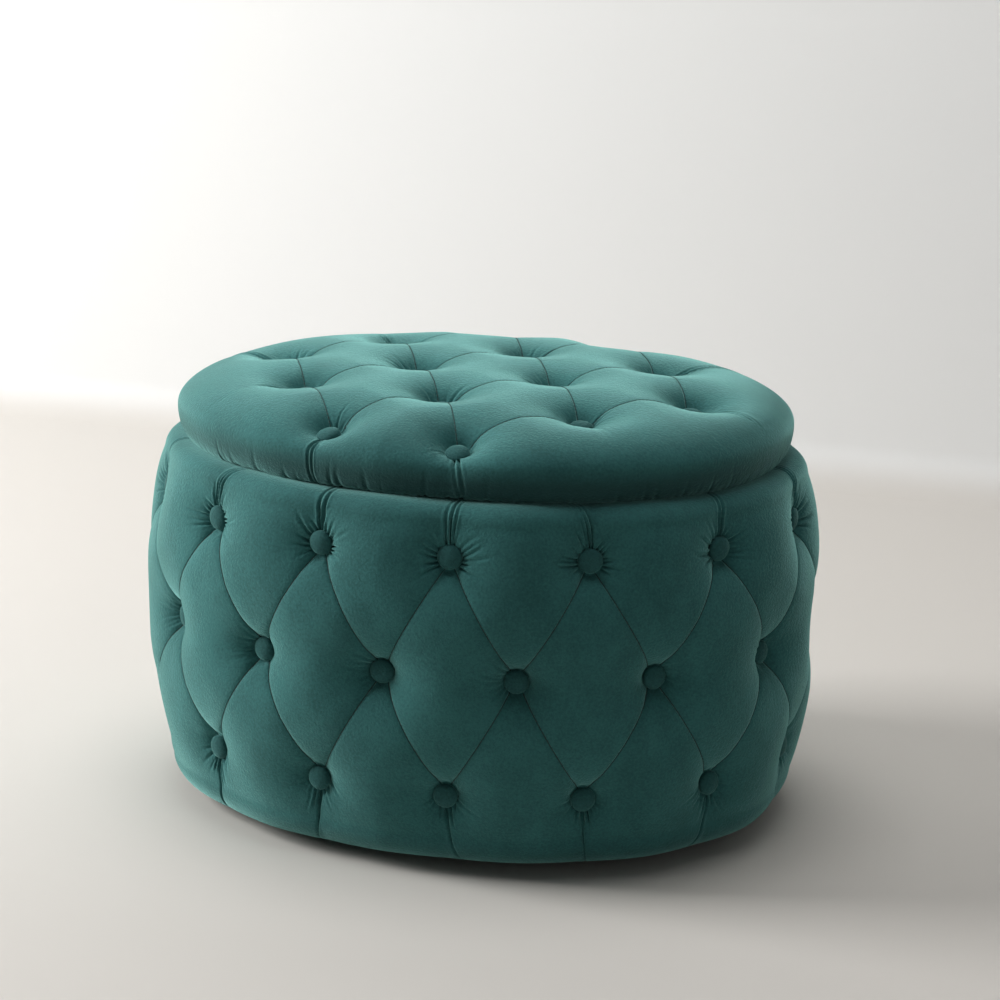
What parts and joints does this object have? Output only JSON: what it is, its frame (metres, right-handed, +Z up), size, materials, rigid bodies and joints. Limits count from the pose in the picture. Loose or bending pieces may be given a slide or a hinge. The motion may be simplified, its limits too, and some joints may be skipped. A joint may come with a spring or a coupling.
{
  "type": "ottoman with storage",
  "caption": "Oval deep-buttoned velvet storage ottoman: a padded tub with a lined well inside, closed by a padded lift-off lid.",
  "frame": {"origin": "floor level, under the middle of the oval", "axes": "+X along the oval's length, +Y towards its rear, +Z up"},
  "size_m": [0.66, 0.55, 0.426],
  "materials": {
    "velvet": "dark teal-green upholstery velvet with a short pile and a soft sheen",
    "button_velvet": "the same teal-green velvet stretched over domed buttons",
    "foam": "pale yellow upholstery foam, open cells",
    "plywood": "raw sanded plywood and softwood",
    "hardboard": "brown bent hardboard, smooth face out",
    "black_lining": "black non-woven lining cloth with a fine dimpled bond pattern",
    "glide_plastic": "black moulded plastic, matt",
    "screw_steel": "zinc-plated steel"
  },
  "bodies": {
    "tub": {"tub_cover": "velvet", "tub_foam": "foam", "wall_panel_rear": "hardboard", "wall_panel_front": "hardboard", "post_1": "plywood", "post_2": "plywood", "post_3": "plywood", "post_4": "plywood", "post_5": "plywood", "post_6": "plywood", "post_7": "plywood", "post_8": "plywood", "rim_ring": "plywood", "well_liner": "black_lining", "floor_liner": "black_lining", "base_board": "plywood", "dust_cover": "black_lining", "glide_1": "glide_plastic", "glide_2": "glide_plastic", "glide_3": "glide_plastic", "glide_4": "glide_plastic", "glide_5": "glide_plastic", "glide_6": "glide_plastic", "button_row_top": "button_velvet", "button_row_middle": "button_velvet", "button_row_bottom": "button_velvet"},
    "lid": {"lid_cover": "velvet", "lid_foam": "foam", "lid_board": "plywood", "lid_liner": "black_lining", "lid_cleat_right": "plywood", "lid_cleat_rear": "plywood", "lid_cleat_left": "plywood", "lid_cleat_front": "plywood", "cleat_screw_right_1": "screw_steel", "cleat_screw_right_2": "screw_steel", "cleat_screw_rear_1": "screw_steel", "cleat_screw_rear_2": "screw_steel", "cleat_screw_left_1": "screw_steel", "cleat_screw_left_2": "screw_steel", "cleat_screw_front_1": "screw_steel", "cleat_screw_front_2": "screw_steel", "lid_button_01": "button_velvet", "lid_button_02": "button_velvet", "lid_button_03": "button_velvet", "lid_button_04": "button_velvet", "lid_button_05": "button_velvet", "lid_button_06": "button_velvet", "lid_button_07": "button_velvet", "lid_button_08": "button_velvet", "lid_button_09": "button_velvet", "lid_button_10": "button_velvet", "lid_button_11": "button_velvet", "lid_button_12": "button_velvet", "lid_button_13": "button_velvet", "lid_button_14": "button_velvet"}
  },
  "joints": [
    {"name": "lid_lift", "type": "slide", "parent": "tub", "child": "lid", "axis": [0, 0, 1], "range_m": [0, 0.3]}
  ]
}
